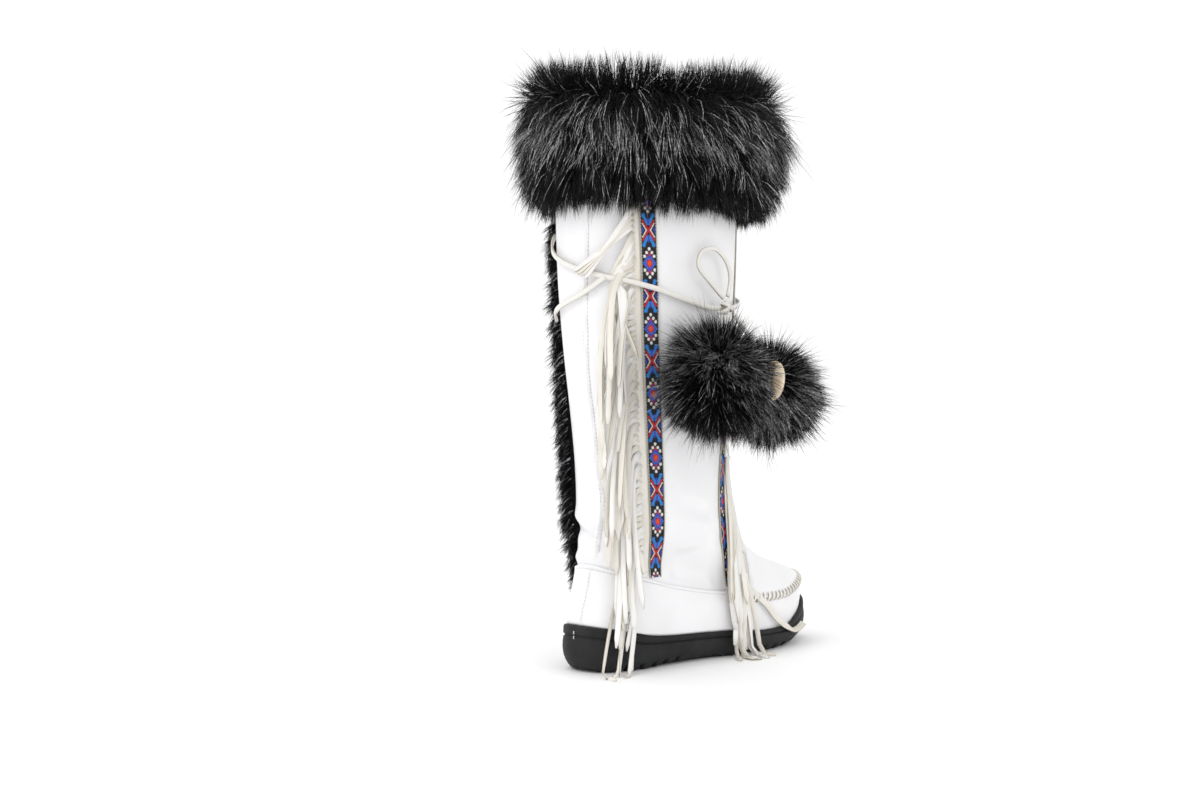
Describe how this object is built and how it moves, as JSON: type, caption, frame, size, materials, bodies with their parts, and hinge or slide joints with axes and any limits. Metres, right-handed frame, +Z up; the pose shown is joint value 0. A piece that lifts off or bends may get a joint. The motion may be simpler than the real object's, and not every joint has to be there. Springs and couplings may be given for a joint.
{
  "type": "mukluk boot",
  "caption": "Tall white leather mukluk boot with a moccasin toe, rubber unit sole, deep fur cuff, laced fur placket, woven trim, hanging fringe and pompoms; right foot.",
  "frame": {"origin": "on the floor under the middle of the heel's flat, the heel_rest mount", "axes": "+Z up along the shaft, +Y towards the toe, +X towards the lateral side (the wearer's right)"},
  "size_m": [0.2339, 0.2869, 0.4528],
  "materials": {
    "leather": "smooth white leather, softly creased",
    "suede": "cream suede-like leather, cut edges",
    "thong": "off-white leather thong",
    "rubber": "matt charcoal, finely textured",
    "lining": "off-white fleece",
    "woven_trim": "woven, red, blue and white on black",
    "fur": "long glossy black fur with grey lights",
    "shell": "polished ivory shell with tan shading"
  },
  "bodies": {
    "root": {"upper": "leather", "outsole": "rubber", "insole": "lining", "quarter_band": "leather", "apron_seam": "leather", "apron": "leather", "ribbon_rear": "woven_trim", "ribbon_front": "woven_trim", "fringe_rear": "suede", "fringe_front": "suede", "fur_cuff": "fur", "fur_flap_rear": "fur", "fur_flap_front": "fur", "lacing": "thong", "tie_band_rear": "thong", "tie_band_front": "thong", "tie_knot": "thong", "tie_loop": "thong", "tie_tail": "thong", "pompom_rear": "fur", "pompom_front": "fur", "pompom_thong_rear": "thong", "pompom_thong_front": "thong", "cowrie_cuff": "shell", "cowrie_pompom": "shell"}
  },
  "joints": []
}
